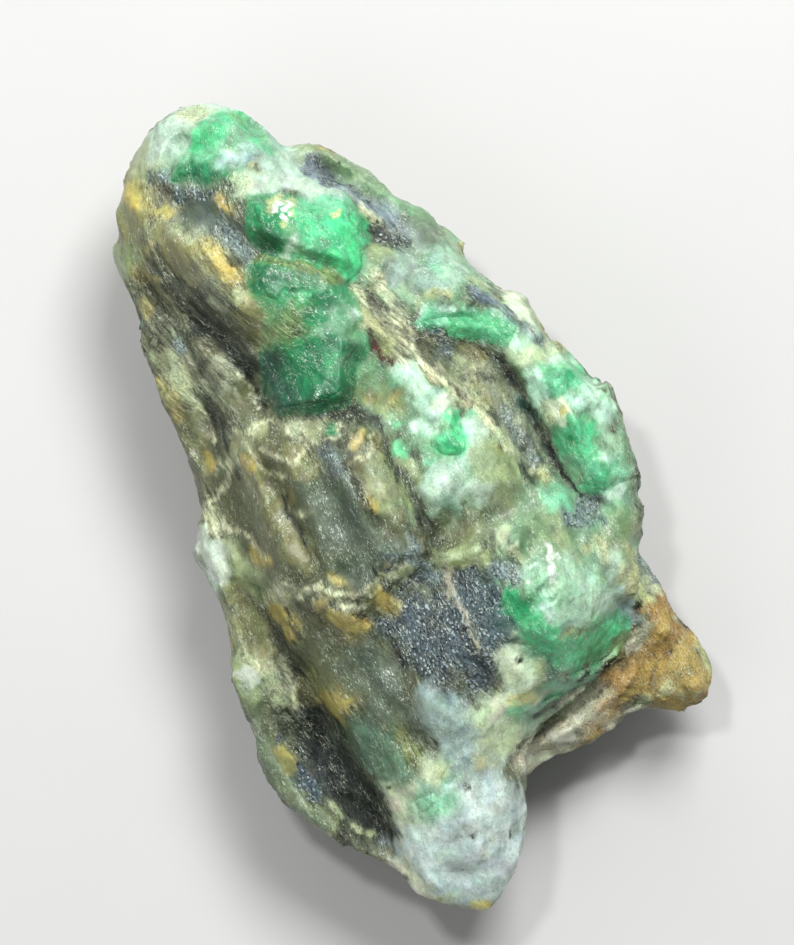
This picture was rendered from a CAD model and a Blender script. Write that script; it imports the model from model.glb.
"""Looks of an emerald in matrix: a hand specimen of mica schist and quartz with cloudy green beryl."""

from math import cos, radians, sin

import bmesh
import bpy
import numpy as np
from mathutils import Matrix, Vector
from mathutils.bvhtree import BVHTree


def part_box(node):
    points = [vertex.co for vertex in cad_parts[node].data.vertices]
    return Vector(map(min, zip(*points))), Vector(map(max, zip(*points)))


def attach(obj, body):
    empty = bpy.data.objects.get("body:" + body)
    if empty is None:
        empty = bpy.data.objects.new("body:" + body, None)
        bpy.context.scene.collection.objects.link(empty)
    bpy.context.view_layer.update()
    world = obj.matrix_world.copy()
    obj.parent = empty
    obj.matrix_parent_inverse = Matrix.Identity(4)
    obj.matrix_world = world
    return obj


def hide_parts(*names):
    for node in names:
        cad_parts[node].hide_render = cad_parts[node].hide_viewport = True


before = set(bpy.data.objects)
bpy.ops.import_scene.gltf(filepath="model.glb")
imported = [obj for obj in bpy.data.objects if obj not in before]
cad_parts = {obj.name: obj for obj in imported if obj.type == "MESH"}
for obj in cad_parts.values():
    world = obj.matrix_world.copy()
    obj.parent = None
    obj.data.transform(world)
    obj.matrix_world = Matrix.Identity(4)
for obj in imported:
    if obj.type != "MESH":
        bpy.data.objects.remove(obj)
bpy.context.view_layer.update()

# --- Host rock ----------------------------------------------------------------------------------
# A lump of mica schist: thin splintery layers of brown and grey mica that bend along the stone, with
# massive quartz grown through them at the head's rim and the foot. Iron has stained it ochre and rust,
# and a cream crust sits on its high edges. It is broken, not cut, so every layer ends in small steps.
MM = 0.001
PLAN_SHIFT = np.array([0.174, -0.284, 0.0])  # from the grid that spots are placed on to the stone's own
ROCK_GRAIN = 0.32
ROCK_SMOOTHING = 4
LAYER_BENDS = ((8.5, 26, 4), (3.0, -6, -26))  # (how far the layers move to +X, from this Y, to this Y)
LAYER_DIP = 0.45


def hashed(cells, seed):
    """Three numbers from 0 to 1 for each whole-numbered cell, always the same for the same cell."""
    keys = np.array([[127.1, 311.7, 74.7], [269.5, 183.3, 246.1], [113.5, 271.9, 124.6]])
    return np.modf(np.abs(np.sin(cells @ keys.T + seed * 17.17)) * 43758.5453)[0]


def cloud(points, size, seed, octaves=3):
    """Soft noise from about -1 to 1, whose largest lumps measure size."""
    total, height = np.zeros(len(points)), 1.0
    for octave in range(octaves):
        places = points / np.asarray(size) * 2**octave
        corner = np.floor(places)
        share = places - corner
        share = share * share * (3 - 2 * share)
        for index in np.ndindex(2, 2, 2):
            weight = np.prod(np.where(index, share, 1 - share), axis=1)
            total += height * weight * (hashed(corner + index, seed + octave)[:, 0] * 2 - 1)
        height *= 0.5
    return total


def shards(points, size, seed):
    """Broken faces: each cell of about this size slants its own way, so it ends in a step."""
    places = points / np.asarray(size)
    corner = np.floor(places)
    nearest = np.full(len(points), 1e9)
    slant = np.zeros(len(points))
    for index in np.ndindex(3, 3, 3):
        cell = corner + index - 1
        offset = places - cell - hashed(cell, seed)
        away = (offset**2).sum(axis=1)
        tilt = hashed(cell, seed + 5) * 2 - 1
        level = hashed(cell, seed + 9)[:, 0] - 0.5
        closer = away < nearest
        nearest = np.where(closer, away, nearest)
        slant = np.where(closer, (offset * tilt).sum(axis=1) + level, slant)
    return slant


def smoothstep(low, high, value):
    share = np.clip((value - low) / (high - low), 0, 1)
    return share * share * (3 - 2 * share)


def gridded(piece, grain, smoothing):
    """Rebuild the piece's surface on a fine even grid, and smooth it."""
    grid = piece.modifiers.new("grid", "REMESH")
    grid.mode = "VOXEL"
    grid.voxel_size = grain * MM
    mesh = bpy.data.meshes.new_from_object(piece.evaluated_get(bpy.context.evaluated_depsgraph_get()))
    piece.modifiers.clear()
    piece.data = mesh
    bm = bmesh.new()
    bm.from_mesh(mesh)
    for _ in range(smoothing):
        bmesh.ops.smooth_vert(
            bm, verts=bm.verts, factor=0.5, use_axis_x=True, use_axis_y=True, use_axis_z=True
        )
    bm.to_mesh(mesh)
    bm.free()
    mesh.shade_smooth()


def copy_of(name, node):
    """A new piece with the surface of one of the stone's solids."""
    bm = bmesh.new()
    bm.from_mesh(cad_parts[node].data)
    bmesh.ops.remove_doubles(bm, verts=bm.verts, dist=0.000001)
    mesh = bpy.data.meshes.new(name)
    bm.to_mesh(mesh)
    bm.free()
    piece = bpy.data.objects.new(name, mesh)
    bpy.context.scene.collection.objects.link(piece)
    return piece


def places_of(mesh):
    """The mesh's points and outward directions, in millimetres on the stone's grid."""
    points = np.empty(len(mesh.vertices) * 3)
    mesh.vertices.foreach_get("co", points)
    facing = np.empty(len(mesh.vertices) * 3)
    mesh.vertex_normals.foreach_get("vector", facing)
    return points.reshape(-1, 3) / MM - PLAN_SHIFT, facing.reshape(-1, 3)


def move_to(mesh, points):
    mesh.vertices.foreach_set("co", ((points + PLAN_SHIFT) * MM).ravel())
    mesh.update()


def hollowness(mesh, points, facing, spread):
    """Above 0 in crevices and below 0 on edges, averaged over some rings of neighbours."""
    ends = np.empty(len(mesh.edges) * 2, dtype=np.int64)
    mesh.edges.foreach_get("vertices", ends)
    first, second = ends.reshape(-1, 2).T
    count = np.bincount(np.concatenate([first, second]), minlength=len(points))
    mean = points.copy()
    for _ in range(spread):
        total = np.zeros_like(points)
        np.add.at(total, first, mean[second])
        np.add.at(total, second, mean[first])
        mean = total / count[:, None]
    return ((mean - points) * facing).sum(axis=1)


def layered(points):
    """Places measured across the layers, along them and up."""
    x, y, z = points.T
    bend = sum(far * smoothstep(start, end, y) for far, start, end in LAYER_BENDS)
    return np.stack([x - bend + LAYER_DIP * z, y, z], axis=1)


def line_distance(x, y, line):
    """How far each place is from a line of points, and how far to the line's left it lies."""
    away = np.full(len(x), 1e9)
    side = np.zeros(len(x))
    ends = list(zip(line[0::2], line[1::2]))
    for (x0, y0), (x1, y1) in zip(ends, ends[1:] or ends):
        run_x, run_y = x1 - x0, y1 - y0
        length = max((run_x**2 + run_y**2) ** 0.5, 1e-6)
        share = np.clip(((x - x0) * run_x + (y - y0) * run_y) / length**2, 0, 1)
        here = np.hypot(x - x0 - share * run_x, y - y0 - share * run_y)
        left = (run_x * (y - y0) - run_y * (x - x0)) / length
        side = np.where(here < away, left, side)
        away = np.minimum(away, here)
    return away, side


def carved(points):
    """How far the rock's face is raised or cut at each place by its ribs, grooves and ledges."""
    x = points[:, 0] + 0.25 * cloud(points, 1.6, 201)
    y = points[:, 1] + 0.25 * cloud(points, 1.6, 207)
    swing = 1 + 0.35 * cloud(points, 2.0, 211, octaves=2)
    height = np.zeros(len(points))
    for rise, half_width, *line in RIBS:
        away, _ = line_distance(x, y, line)
        height += rise * swing * np.exp(-((away / half_width) ** 2))
    for rise, reach, *line in LEDGES:
        away, side = line_distance(x, y, line)
        height += rise * swing * smoothstep(-0.12, 0.22, side) * np.exp(-away / reach)
    return height


def brushed(points, soft, brushes, drift):
    """How fully a paint covers each place. A brush is a half width and the points of its line."""
    x, y, z = points.T
    cover = np.zeros(len(points))
    for half_width, *line in brushes:
        reach = half_width * 2.2 + 0.6
        near = (x > min(line[0::2]) - reach) & (x < max(line[0::2]) + reach)
        near &= (y > min(line[1::2]) - reach) & (y < max(line[1::2]) + reach)
        pull = 0.22 + min(half_width, 1.0) * 0.36
        away, _ = line_distance(x[near] + drift[near, 0] * pull, y[near] + drift[near, 1] * pull, line)
        field = 1 - away / (2 * half_width) + drift[near, 2] * 0.17
        cover[near] = np.maximum(cover[near], smoothstep(0.5 - soft, 0.5 + soft, field))
    return cover


def linear(red, green, blue):
    """A colour as the eye grades it, 0 to 255, as light."""
    graded = np.array([red, green, blue]) / 255
    return np.where(graded < 0.04045, graded / 12.92, ((graded + 0.055) / 1.055) ** 2.4)


COOL_CAST = (1.0, 1.12, 1.16)  # the whole stone leans a little to green and blue
MOTTLING = (0.07, 0.04, 0.08)  # how much red, green and blue wander on their own


def painted(points, amount):
    """The colour of each place, and how much of it is clear crystal, sparkling mica and dull crust."""
    drift = np.stack([cloud(points, 1.5, seed) for seed in (221, 227, 233)], axis=1)
    drift += 0.5 * np.stack([cloud(points, 0.6, seed, octaves=2) for seed in (241, 247, 251)], axis=1)
    shade = cloud(layered(points), (1.2, 8.0, 3.0), 255)[:, None]
    patches = smoothstep(0.1, 0.9, cloud(points, 6.0, 257))[:, None]
    tone = linear(98, 99, 74) * (1 + 0.3 * shade)
    tone = tone + (linear(136, 120, 74) - tone) * 0.5 * patches * (1 - amount[:, None])
    kinds = np.zeros((len(points), 3))
    for name, size, seed, low in BACK_PATCHES:
        shades, kind = PAINTS[name]
        cover = smoothstep(low, low + 0.35, cloud(layered(points), size, seed))
        cover = (cover * (1 - amount) * 0.85)[:, None]
        tone = tone + (linear(*shades) - tone) * cover
        kinds = kinds + (np.eye(4)[kind][:3] - kinds) * cover
    within = np.max([knobbed(points, knobs)[1] for knobs in KNOBS.values()], axis=0)
    bare = smoothstep(-0.30, 0.20, within) * amount
    for layers_of_paint, share in ((PAINT_LAYERS, amount), (BERYL_LAYERS, bare)):
        for name, soft, strength, *brushes in layers_of_paint:
            shades, kind = PAINTS[name]
            cover = (brushed(points, soft, brushes, drift) * strength * share)[:, None]
            tone = tone + (linear(*shades) - tone) * cover
            kinds = kinds + (np.eye(4)[kind][:3] - kinds) * cover
    mottle = np.stack([cloud(points, 1.1, seed) for seed in (261, 263, 267)], axis=1)
    fine = cloud(layered(points), (0.4, 1.3, 0.6), 269, octaves=2)[:, None]
    return tone * COOL_CAST * (1 + mottle * MOTTLING + 0.20 * fine), kinds


def keep(mesh, name, values):
    """Store numbers for each point, for the finish to read: one, or three."""
    kind = "FLOAT" if values.ndim == 1 else "FLOAT_VECTOR"
    held = mesh.attributes.new(name, kind, "POINT").data
    held.foreach_set("value" if values.ndim == 1 else "vector", values.astype(np.float32).ravel())


# Ribs and grooves: (rise, half width, line), and ledges whose left side is higher: (rise, reach, line).
RIBS = (
    (0.50, 0.7, -13.2, 25, -11.6, 20, -10.6, 15.5, -9.6, 11.5),
    (-0.70, 0.8, -11.8, 22, -10, 18.5, -8.4, 15.5, -7.6, 11),
    (0.40, 0.6, -10.2, 26, -8.8, 22.5, -7.6, 19.5, -6.8, 17), (0.40, 0.5, -7.4, 24.5, -6.4, 21),
    (-0.45, 0.4, -13.6, 21.5, -12.4, 17.5, -11.6, 13), (-0.60, 0.6, -12.4, 12, -12.2, 8.4),
    (0.50, 0.5, -11, 8, -10.8, 3), (-0.40, 0.5, -9.8, 7, -9.8, 2), (0.30, 0.6, -7, 6.4, -6.6, 3),
    (0.50, 0.6, -1.6, 3.4, -1.7, 0, -1.1, -2.4), (-0.50, 0.4, -3.2, 5, -2.9, 1, -2.8, -2.6),
    (0.30, 0.4, -4.6, 5, -3.8, 1), (-0.25, 0.7, -8.6, 2, -8.4, -4), (0.25, 0.6, -10.4, 0, -10, -4),
    (0.30, 0.4, -15, 1, -14.6, -3, -15, -7), (-0.30, 0.4, -16, 0, -16, -8),
    (0.45, 0.5, -13.2, -5, -12.8, -8.4), (-0.45, 0.5, -14.2, -3, -14, -9), (0.55, 0.8, -9.3, -6.4),
    (0.55, 0.8, -8.4, -8.6, -7, -9.6), (0.40, 0.7, -4.8, -8, -4.2, -8.8),
    (-0.70, 1.8, -14.2, -12, -13.8, -18, -12.4, -23), (0.40, 0.5, -18, -14, -17.8, -19, -16.8, -22.6),
    (0.2, 0.3, -15.4, -22, -14, -24.2, -12.8, -26), (0.15, 0.2, 1, -6, 0.9, -10, 1.2, -14.6),
    (-0.30, 0.6, -9, -11, -8.4, -15, -7.4, -19), (0.30, 0.5, -7.6, -11.4, -6.8, -15, -5.8, -19.6),
    (-0.3, 0.5, -5.6, -10, -5, -15),
    (-0.85, 0.45, 11.7, 7, 12.2, 3.4, 12.6, 0, 12.8, -3, 13.7, -5.4, 15, -6.8),
    (-0.50, 0.3, 10.6, 13.4, 12, 12, 13.2, 10, 14.6, 8.2, 15.6, 7.2),
    (-0.40, 0.8, 2.6, 27.6, 4.4, 25.2, 6.2, 22.8, 8.4, 20), (-0.45, 0.8, 5.4, 21, 7.4, 18.6),
    (0.50, 0.5, 2.4, 14.5, 3.2, 12, 3.6, 10.4), (0.55, 0.5, 4, 16.6, 4.6, 13.6, 5.6, 11),
    (-0.50, 0.4, 3.2, 16.4, 3.8, 13.4, 4.6, 11), (0.60, 0.8, 4.6, 9, 6.2, 7.4, 7.4, 6),
    (0.45, 0.9, 3.4, 9.2, 4.2, 6.6), (0.90, 1.6, 3.2, -0.9), (0.55, 1.0, 7.2, 0.4),
    (0.40, 0.8, 5.6, -2.2, 6.8, -3.2), (0.80, 1.0, 1.8, -6.6, 3.8, -7),
    (0.30, 0.4, 8.6, 3, 9.6, 0.6, 10.2, -1.4), (0.5, 0.6, 5, 19, 5.6, 17.6), (-0.35, 0.4, 7.4, 17, 8.2, 15),
    (0.80, 1.4, 3.6, -16.6, 3.5, -18.2),
    (-0.60, 0.35, 5, -20.6, 9, -20.9, 12, -19.8, 13.6, -18.2, 14.8, -16.6),
    (0.35, 0.3, 3, -21.4, 8, -20.7, 12, -19.2), (-0.35, 0.25, 2.6, -23.4, 7, -22.6, 11, -21.4, 15, -18.4),
    (0.30, 0.4, 3, -24.4, 8, -23.4, 12, -22, 16, -19),
    (-0.45, 0.25, 10, -24.4, 12.4, -24, 14, -22.5, 15.6, -21, 17, -20.2), (0.5, 0.9, 14.5, 1.1),
    (0.5, 0.8, 15.6, 9.6, 14.2, 11.4), (0.4, 0.6, 16, -8.6, 14, -10.4),
)  # fmt: skip
LEDGES = (
    (0.55, 3.0, -13.9, 22, -12.9, 17, -12.8, 12, -12.4, 8),
    (0.70, 4.0, 0.5, -5.4, 0.7, -3.4, 0.1, 0, -0.2, 4, -1, 5.6, -3, 7.2, -5, 8, -7.6, 9, -10, 8.9,
      -11.9, 8.2),
    (0.80, 3.0, -12, -4.4, -10, -5.6, -8.4, -7, -6, -7.4, -4, -6, -2, -5.4, 0, -6),
    (0.50, 2.0, -13, 1, -15, 2.6, -18.5, 2.4),
    (0.60, 3.0, -6, -21.6, -8, -22, -10.8, -22.4, -10.9, -25.6, -11, -27.6),
    (0.60, 3.0, 6.4, 11, 9, 9.8, 10.4, 8.8, 11.6, 7.2, 12.2, 3.4, 12.6, 0, 12.8, -3, 13.7, -5.4, 15, -6.8),
)  # fmt: skip

# Each paint is a mineral's colour as the eye grades it, and its kind: clear crystal, mica, crust or schist.
CLEAR, MICA, CRUST, SCHIST = range(4)
PAINTS = {
    "brown schist": ((99, 97, 67), SCHIST),
    "pale schist": ((142, 143, 114), SCHIST),
    "gold schist": ((134, 123, 74), SCHIST),
    "dark schist": ((58, 62, 48), SCHIST),
    "black schist": ((32, 38, 34), SCHIST),
    "smoky schist": ((86, 92, 74), SCHIST),
    "blue schist": ((84, 92, 84), SCHIST),
    "olive schist": ((124, 126, 72), SCHIST),
    "grey rock": ((204, 195, 164), CRUST),
    "silver mica": ((122, 134, 130), MICA),
    "blue mica": ((74, 86, 92), MICA),
    "dark mica": ((54, 60, 60), MICA),
    "ochre": ((164, 150, 88), SCHIST),
    "orange": ((178, 154, 86), SCHIST),
    "amber": ((190, 156, 82), CRUST),
    "rust": ((170, 128, 66), CRUST),
    "red rust": ((82, 36, 30), CRUST),
    "cream": ((196, 200, 154), CRUST),
    "yellow crust": ((206, 200, 140), CRUST),
    "white crust": ((238, 240, 226), CRUST),
    "olive quartz": ((146, 156, 106), CLEAR),
    "cream quartz": ((190, 198, 156), CLEAR),
    "green quartz": ((122, 162, 124), CLEAR),
    "mint quartz": ((198, 230, 202), CLEAR),
    "white quartz": ((186, 204, 180), CLEAR),
    "blue quartz": ((172, 190, 188), CLEAR),
    "smoky quartz": ((86, 112, 86), CLEAR),
    "pale beryl": ((118, 192, 144), CLEAR),
    "bright beryl": ((76, 196, 128), CLEAR),
    "green beryl": ((36, 140, 86), CLEAR),
    "deep beryl": ((16, 86, 52), CLEAR),
    "teal beryl": ((26, 66, 56), CLEAR),
    "black grain": ((24, 26, 30), SCHIST),
    "foot quartz": ((200, 206, 197), CLEAR),
    "cream lump": ((208, 204, 176), CLEAR),
    "grey quartz": ((146, 158, 148), CLEAR),
    "brown quartz": ((116, 118, 84), CLEAR),
    "gold quartz": ((202, 184, 104), CLEAR),
    "olive green quartz": ((114, 140, 100), CLEAR),
    "misty green": ((162, 194, 160), CLEAR),
    "pale lump": ((226, 232, 196), CLEAR),
    "lavender schist": ((124, 132, 138), SCHIST),
    "gravel": ((142, 144, 110), CRUST),
    "cream gold": ((200, 195, 156), SCHIST),
    "mid beryl": ((88, 172, 120), CLEAR),
    "plate quartz": ((95, 95, 63), CLEAR),
    "smoky plate": ((88, 97, 78), CLEAR),
    "plate gold": ((127, 121, 77), CLEAR),
    "finger quartz": ((158, 160, 118), CLEAR),
    "spur quartz": ((200, 200, 182), CLEAR),
    "amber quartz": ((194, 170, 88), CLEAR),
}
BACK_PATCHES = (  # on the sides and the back: (paint, size, seed, how rare)
    ("dark schist", (1.4, 7.0, 2.0), 283, 0.15), ("pale schist", (1.0, 6.0, 1.6), 281, 0.30),
    ("gold schist", (4.0, 5.0, 3.0), 279, 0.30), ("silver mica", (2.4, 6.0, 2.0), 271, 0.50),
    ("brown quartz", (3.0, 8.0, 2.6), 273, 0.40), ("olive quartz", (2.2, 7.0, 2.0), 293, 0.60),
    ("foot quartz", (2.4, 9.0, 2.4), 277, 0.85),
)  # fmt: skip
# Layers of paint, first to last: (paint, softness of its edge, strength, brushes). A brush is (half width,
# line).
PAINT_LAYERS = (
    ("brown schist", 0.30, 0.8, (3.0, -12, 24, -9, 14), (3.0, -14, 10, -14, 6), (3.0, -8, 2, -8, -4),
     (2, -8, -16, -7, -21)),
    ("green quartz", 0.34, 0.9, (2.2, 8, 25, 11, 20, 12, 15), (2.6, 5, 16, 8, 15.5, 10, 15),
     (3.0, 15, 9, 15.5, 3, 16, -4), (2.6, 4, 6, 5, 1), (2.4, 3.4, -1, 7, -1, 7, -4), (4.6, 9, -10, 9, -16),
     (2.2, 9, -5, 12, -6), (2.0, 16, -8, 15, -12), (1.6, 1, -20.6, 3, -21.6, 6, -20.6), (2.2, 1, 9, 2, 6),
     (1.6, -9, 32.4, -7, 31.4), (3.4, -5, 32, -1.4, 31.6), (1.6, -8.6, -23.4, -4, -23.4)),
    ("olive quartz", 0.30, 0.85, (1.2, 2.4, 29.6, 4, 28.2, 6, 26), (0.9, 5, 19, 5.4, 17.6),
     (1.6, 0.4, 9, 1.4, 7), (1.3, 14.6, 11, 15.2, 9), (1.2, 8.4, -0.6, 8.2, -2.6, 5.8, -4.6, 4.4, -4.8),
     (0.9, 6.4, 16, 7, 14.2), (1.4, 9, -5, 9.4, -7.6), (1.2, 10, -7.6, 10.8, -10), (0.9, 15, -11, 17, -9.6),
     (0.8, 9, 18.6, 11, 19), (0.9, -18, -16, -18, -19, -17.4, -22, -16.4, -24.4),
     (1.2, -15, -0.5, -14.4, -3), (1.2, -16, -5, -16.4, -8.4), (1.2, -18, -9, -17.4, -12.4), (0.6, 17,
      -2.8),
     (0.9, 0.6, 2, 0.8, -1.6), (1.5, -15.2, 25.6, -13.8, 29.2, -12.2, 32, -10, 34.2),
     (0.9, 14.6, -15, 15.4, -12.4)),
    ("cream quartz", 0.30, 0.85, (1.5, -12, 33, -9, 33.4), (1.4, -9.6, -23.2, -9.2, -24.6),
     (1.3, -11, -30, -9.4, -32.6), (1.2, -6, -22.6, -5.2, -22.6), (1.4, -0.6, -21.6, 1, -20),
     (1.2, 13.4, 6.8, 15, 6.2), (0.8, -5.6, -25.4), (0.7, 6.4, -6.6), (0.8, -3, 28.2, -1.6, 28),
     (0.9, -13.4, 29.6, -12.6, 31)),
    ("white quartz", 0.30, 0.9, (1.1, -10, 34, -7.4, 34.6, -4, 35.2, -2, 34.8),
     (1.5, -0.6, 29, 1.2, 27.4, 2.5, 25.8), (0.8, 5.6, -2.2, 6.8, -3.2), (1.6, 3.0, -0.9, 3.8, -1.4),
     (0.9, 7.2, 0.8, 7.4, -0.4), (0.7, 7.6, 2.2), (1.6, 3.6, -16.5, 3.5, -18.6),
     (0.9, -17.8, 1.8, -16.4, 1.5), (0.9, -16.8, 0.4, -17, -2), (0.9, 0, -20.6, 1, -20.2),
     (0.5, 15.8, -7, 17, -6.6), (0.7, -3, 28, 0, 26.9, 3, 25.4, 4.5, 24.4), (0.7, 17.4, 2, 18, 0.2),
     (1.0, 13.2, -13.4, 14, -12), (0.7, 0.2, 32.6, 1.2, 30), (1.2, -9, 33.8, -7, 33)),
    ("blue quartz", 0.30, 0.9, (2.9, -8, -27.4, -5, -28, -3, -27), (2.9, -8, -31, -3, -31),
     (1.9, -6, -33.6), (1.7, -3.6, -17.6, -3, -21, -2.4, -23.4), (1.1, 12, -15.6, 13.2, -15, 13.8, -16.4),
     (0.5, 7.6, -13.6, 7.6, -14.4)),
    ("white quartz", 0.34, 0.7, (1.3, -6.4, -29.2, -3.4, -29.8), (0.9, -8.6, -31.4, -8, -29.4),
     (0.7, -4, -34, -3, -33.4), (1.0, -9, -24.2), (1.2, 10, 16, 9.8, 15), (1.0, -9.4, -26.4, -7, -27)),
    ("dark schist", 0.28, 0.85, (1.2, -12, 23.5, -10, 19, -8.5, 16, -7.5, 12.5),
     (0.4, -13.8, 21.5, -12.6, 18, -11.5, 14.5, -10.8, 12), (0.7, -12.6, 13, -12.2, 10, -12.4, 8),
     (1.4, -11, 3, -10.6, -1, -10, -4), (1.0, -9, -4), (2.2, -14.5, -12, -14, -18, -12.6, -22, -11.6,
      -25.5),
     (0.4, 0, 6, 0.2, 2, 0.8, -1, 1.2, -4), (0.9, -14.8, -9.6, -14.4, -13), (1.6, -9.6, -12, -9, -16),
     (0.7, -15, -23, -13.6, -27), (0.5, -13.2, 10, -14, 5), (0.6, -8, 8, -7.4, 6.6),
     (0.3, 11.6, 7, 12.2, 3.4, 12.6, 0, 12.8, -3, 13.6, -5.4, 15, -6.8),
     (0.3, 3.6, -21.8, 8, -20.9, 12, -19.8, 14.4, -17.6), (0.25, 10, -24.4, 12.6, -24, 14, -22.6, 16,
      -20.8),
     (0.5, 9, 9.4, 10.6, 7.8)),
    ("black schist", 0.28, 0.85, (0.8, -10.8, 18.5, -9, 15.5, -8, 12.5, -7.6, 10.5),
     (1.2, -14.5, -16.6, -13.4, -22), (0.5, -12.3, 11.4, -12.2, 9), (0.9, -12, -23, -11.4, -26),
     (0.2, 12.2, 3, 12.7, -2, 13.4, -5)),
    ("smoky schist", 0.34, 0.8, (2.0, -7, 1, -5.6, -2, -5.6, -5), (1.2, -5.6, -5.6),
     (1.5, -8, -12, -7, -16, -6, -20), (0.9, -13.6, 3.8, -12.4, 4.4), (0.9, -4.6, 26.2, -4, 25),
     (0.9, 8.4, 6.4, 9.4, 5), (1.2, -6.4, 27.6, -5, 25.4), (1.0, -11.6, -9, -11, -12)),
    ("blue schist", 0.34, 0.7, (1.2, -6, 0.4, -5, -3), (0.9, -5.4, -5.4), (0.8, -1, -4.6, -0.6, -2.6),
     (1.0, -9.4, -11.6, -8.6, -13.6)),
    ("smoky quartz", 0.34, 0.9, (1.7, -4.6, 20.6, -2, 18.6, 0.4, 17.6), (1.5, -10.6, -18, -9, -20.5),
     (0.9, 9, -5, 8.4, -7.2), (0.8, 3, -14.6, 4.2, -15.6), (0.9, 5.8, -17, 6.4, -19),
     (0.8, 5, -4.6, 6.4, -4.4)),
    ("pale schist", 0.28, 0.8, (0.7, -10.5, 15, -9.5, 12, -9, 10), (0.9, -11.4, 14, -10.2, 11, -9.4, 9.4),
     (0.9, -1.6, 3, -1.8, 0, -1.2, -2), (0.9, -11.5, 27, -8.5, 26.5, -7.5, 24.5), (0.4, -9.4, 22, -8, 19),
     (0.5, -13.2, 20, -12.2, 16), (0.8, -6.2, 8, -5, 7.4), (0.5, -5, -17, -4.6, -17.6),
     (0.4, -10, 3, -9.8, 0), (0.6, -14.8, -10, -14.6, -13), (0.4, -8.4, -14, -7.4, -17),
     (0.5, -16.6, -4, -16.8, -7), (0.4, -7.8, 12.4, -7.2, 10.4)),
    ("gold schist", 0.32, 0.8, (0.7, -11, 7.8, -10.8, 4, -10.4, 0.6), (0.5, -2.6, 2.4, -2.4, -0.6),
     (0.5, -0.6, 4.6, -0.8, 2.6), (0.7, -14.8, 10, -14.2, 7), (0.9, -9.6, -8, -7.4, -10),
     (0.8, -13.2, -6, -12.8, -8.4), (1.2, -12.6, -12.6, -11, -15.4), (0.6, -7.4, -5, -7, -5.6),
     (0.7, -15.2, 13.4, -15, 9.4), (0.9, -6.4, 20.6, -5.6, 17.6, -5, 15.8), (0.7, -9.6, 25, -8.4, 23)),
    ("olive schist", 0.30, 0.85, (1.2, -5.4, 18.2, -5.6, 16), (0.9, -6.6, 19.4, -5.2, 17),
     (0.9, -7, 5.4, -6.6, 3.6), (0.6, -15, 11, -14.6, 8), (0.8, -7.6, -18, -7, -21),
     (0.9, -12, -11, -11.6, -15), (0.7, -9.4, 1.6, -9, -1)),
    ("silver mica", 0.28, 0.9, (0.9, -9.6, 31, -9.2, 29.5, -7.5, 28.3),
     (1.0, -8.5, 28, -7, 26.5, -5.5, 24.8, -5, 23.3), (0.8, 3, 27.2, 4.4, 25.2, 6, 23, 8, 20.4, 9, 19),
     (0.6, -4.8, 5, -4.2, 3, -3.6, 1.4), (0.9, 12.4, -7.6, 14.6, -7.2), (0.7, -13, 17.6),
     (0.8, -1.2, -4, -0.4, -5), (0.9, 5, -8.8, 6.2, -9.8), (0.7, -1.4, -6, 0, -8), (0.9, 8.6, 6.2, 9.4,
      4.6),
     (0.6, 16.8, -13, 17.2, -15.4), (0.4, 17.9, -20), (0.7, 7.6, 9.4, 9, 8.4)),
    ("blue mica", 0.30, 0.9, (2.3, -3.4, -10, -2, -14, 0, -12), (1.4, 0, -10, 0.4, -14, 0.2, -17),
     (1.6, 2.4, -9.6, 3.4, -12.4, 2.2, -14.4), (0.4, 11.4, 12.8),
     (0.4, 11, 13, 12, 12, 13, 10.4, 14.2, 8.8, 15.2, 7.4), (0.7, -16.6, -19.6, -16, -21.4),
     (0.35, -17, -16), (0.9, -3, -4.6, -2, -7), (0.7, 6.2, 12, 7, 11.2)),
    ("dark mica", 0.28, 0.7, (0.4, -7.4, 28.6, -5.8, 28.2), (0.8, 5.2, 21.2, 6.4, 19.6, 7.2, 18.6),
     (0.7, -5, 8.6, -3, 7.8, -1.5, 7.2, -0.3, 6.2), (0.8, 9.4, 8.2, 10.6, 6.6, 11.4, 4.8),
     (1.0, 10, 3.4, 10.8, 1, 11.6, -1.6), (0.4, 9.6, -3.4, 10, -4.2), (0.9, -4.4, -13, -2.6, -16.6),
     (0.4, -4.6, 5.2), (0.4, -3, -1.4, -2.8, -2.6), (0.4, -1.2, -18.2), (0.5, -9.6, 30.4, -9, 29.4),
     (0.4, 1, -3, 1.2, -5), (0.6, 0.6, -12.6, 0.9, -16), (0.9, -14.8, -18, -14, -21),
     (0.25, 8, -22.4, 12, -20.6), (0.8, -1.6, -11, -1.4, -13)),
    ("ochre", 0.36, 0.8, (1.5, -12.2, 31, -11.6, 29.8), (0.6, -10, 28.2, -9, 28),
     (0.45, -8, 24.8, -7, 22.5, -6.3, 21), (0.5, -14.3, 24.6, -13.8, 24), (0.5, -14.6, 22, -14.4, 21.4),
     (0.4, -12.8, 23.4), (0.6, -12.5, 26), (0.8, -5.1, 26.8), (0.5, -15.4, 15.5, -15.3, 12),
     (0.5, -14, 8.2, -13.8, 7), (0.4, -11, 7.6, -10.8, 6), (0.35, -2.8, 0, -2.6, -0.6),
     (0.5, -12.9, -1, -12.7, -2), (0.6, -9.3, -6.2), (0.45, -7.8, -4.8, -7.4, -5.4),
     (0.8, -5.2, -7.6, -4.2, -8.8), (0.7, 2, 6.9), (0.4, 12, 17, 12.9, 14.4), (0.5, 16.2, 8, 16.8, 6.4),
     (0.5, 8.4, 0.2), (0.5, 12.6, -10.2), (1.0, -11.6, -14.8), (0.5, -17.4, -17, -17.2, -18.2),
     (0.5, -7.4, -34.6, -6, -35.4), (0.3, -10.6, -27.4), (0.5, -1.8, -23.4), (0.4, -18, -7),
     (0.4, 4, 29, 4.6, 28.4), (0.35, 9, -16.3), (0.6, 3, 9.4), (0.5, 0.6, 7.6)),
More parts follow.
